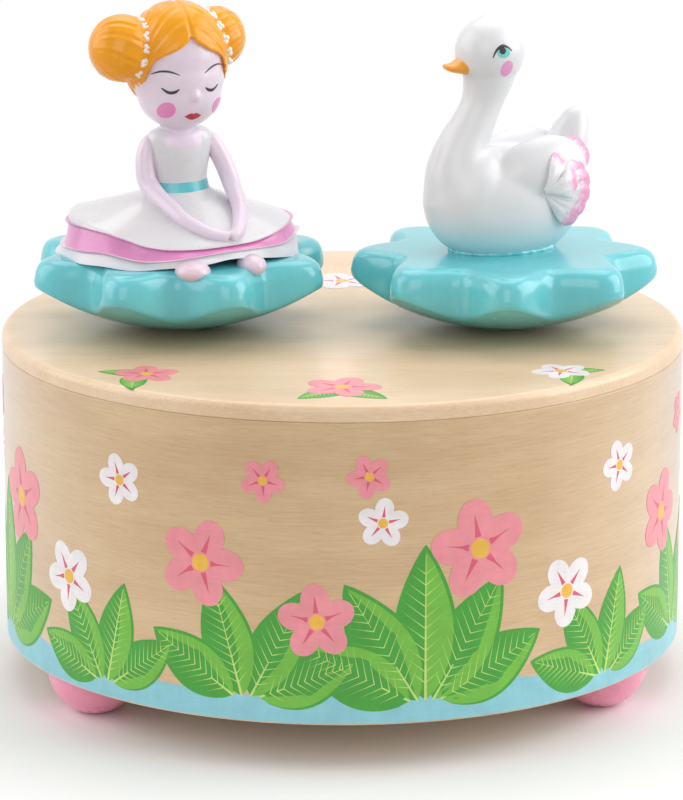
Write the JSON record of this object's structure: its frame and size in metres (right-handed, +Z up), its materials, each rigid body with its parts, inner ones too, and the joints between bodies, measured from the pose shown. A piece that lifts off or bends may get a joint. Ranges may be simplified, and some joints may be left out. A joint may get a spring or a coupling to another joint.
{
  "type": "wind-up music box with magnetic figures",
  "caption": "Round wooden wind-up music box on ball feet, with a magnet arm under its thin top that carries a ballerina and a swan round on star bases.",
  "frame": {"origin": "on the floor plane under the drum's axis, midway between the feet", "axes": "+Z up along the drum's axis, -Y towards the viewer, the ballerina on the -X side at rest"},
  "size_m": [0.12, 0.12, 0.1205],
  "materials": {
    "maple": "lacquered maple plywood with printed decoration",
    "pink_feet": "painted satin",
    "zinc_screws": "zinc plated",
    "bed_metal": "plated",
    "case_metal": "pressed and plated",
    "spring_steel": "polished",
    "brass": "turned",
    "comb_steel": "ground",
    "white_nylon": "moulded",
    "key_metal": "nickel plated",
    "magnets": "nickel plated",
    "turquoise_resin": "painted resin, satin",
    "petticoat_white": "painted resin, satin",
    "hem_pink": "painted resin, satin",
    "dress_white": "painted resin, satin",
    "belt_turquoise": "painted resin, satin",
    "skin": "painted resin, satin",
    "shoe_pink": "painted resin, satin",
    "hair_orange": "painted resin, satin",
    "garland_white": "painted resin, satin",
    "swan_white": "painted resin, satin",
    "beak_orange": "painted resin, satin",
    "feather_white": "painted resin, satin"
  },
  "bodies": {
    "case": {"drum_wall": "maple", "top_plate": "maple", "plate_spigot": "maple", "base_plate": "maple", "foot_front_left": "pink_feet", "foot_front_right": "pink_feet", "foot_rear": "pink_feet", "foot_screws": "zinc_screws", "movement_bedplate": "bed_metal", "movement_screws": "zinc_screws", "spring_case": "case_metal", "mainspring": "spring_steel", "inner_bearing": "brass", "governor_frame": "brass", "governor_tail_bearing": "brass", "governor_bridge": "brass", "comb_block": "bed_metal", "music_comb": "comb_steel", "comb_screws": "zinc_screws", "top_bush": "white_nylon"},
    "key": {"winding_shaft": "spring_steel", "winding_key": "key_metal", "ratchet_washer": "spring_steel"},
    "drive": {"crown_wheel": "brass", "output_post": "spring_steel", "magnet_arm": "white_nylon", "arm_magnets": "magnets"},
    "cylinder": {"music_cylinder": "brass", "cylinder_arbor": "spring_steel", "cylinder_pinion": "brass", "cylinder_wheel": "brass"},
    "idler": {"idler_pinion": "spring_steel", "worm_wheel": "brass"},
    "worm": {"governor_worm": "spring_steel", "governor_fan": "brass"},
    "ballerina": {"ballerina_arms": "skin", "ballerina_base": "turquoise_resin", "ballerina_belt": "belt_turquoise", "ballerina_dress": "dress_white", "ballerina_hair": "hair_orange", "ballerina_head": "skin", "ballerina_hem": "hem_pink", "ballerina_magnet": "magnets", "ballerina_petticoat": "petticoat_white", "ballerina_toes": "shoe_pink", "hair_garlands": "garland_white"},
    "swan": {"swan_base": "turquoise_resin", "swan_beak": "beak_orange", "swan_body": "swan_white", "swan_magnet": "magnets", "swan_tail": "feather_white", "swan_wing_left": "feather_white", "swan_wing_right": "feather_white"}
  },
  "joints": [
    {"name": "key_turn", "type": "hinge", "parent": "case", "child": "key", "pos_m": [0, 0, 0.01], "axis": [0, 0, 1], "continuous": true},
    {"name": "drive_turn", "type": "hinge", "parent": "case", "child": "drive", "pos_m": [0, 0, 0.04], "axis": [0, 0, 1], "continuous": true},
    {"name": "cylinder_turn", "type": "hinge", "parent": "case", "child": "cylinder", "pos_m": [0.03, 0, 0.0304], "axis": [1, 0, 0], "continuous": true},
    {"name": "idler_turn", "type": "hinge", "parent": "case", "child": "idler", "pos_m": [0.043, -0.009, 0.0304], "axis": [1, 0, 0], "continuous": true},
    {"name": "worm_turn", "type": "hinge", "parent": "case", "child": "worm", "pos_m": [0.0434, -0.0152, 0.03], "axis": [0, 0, 1], "continuous": true},
    {"name": "ballerina_spin", "type": "hinge", "parent": "drive", "child": "ballerina", "pos_m": [-0.0285, 0, 0.065], "axis": [0, 0, 1], "continuous": true},
    {"name": "swan_spin", "type": "hinge", "parent": "drive", "child": "swan", "pos_m": [0.0285, 0, 0.065], "axis": [0, 0, 1], "continuous": true}
  ],
  "couplings": [
    {"joint": "cylinder_turn", "follows": "drive_turn", "ratio": -3},
    {"joint": "idler_turn", "follows": "drive_turn", "ratio": 15},
    {"joint": "worm_turn", "follows": "drive_turn", "ratio": 360}
  ]
}
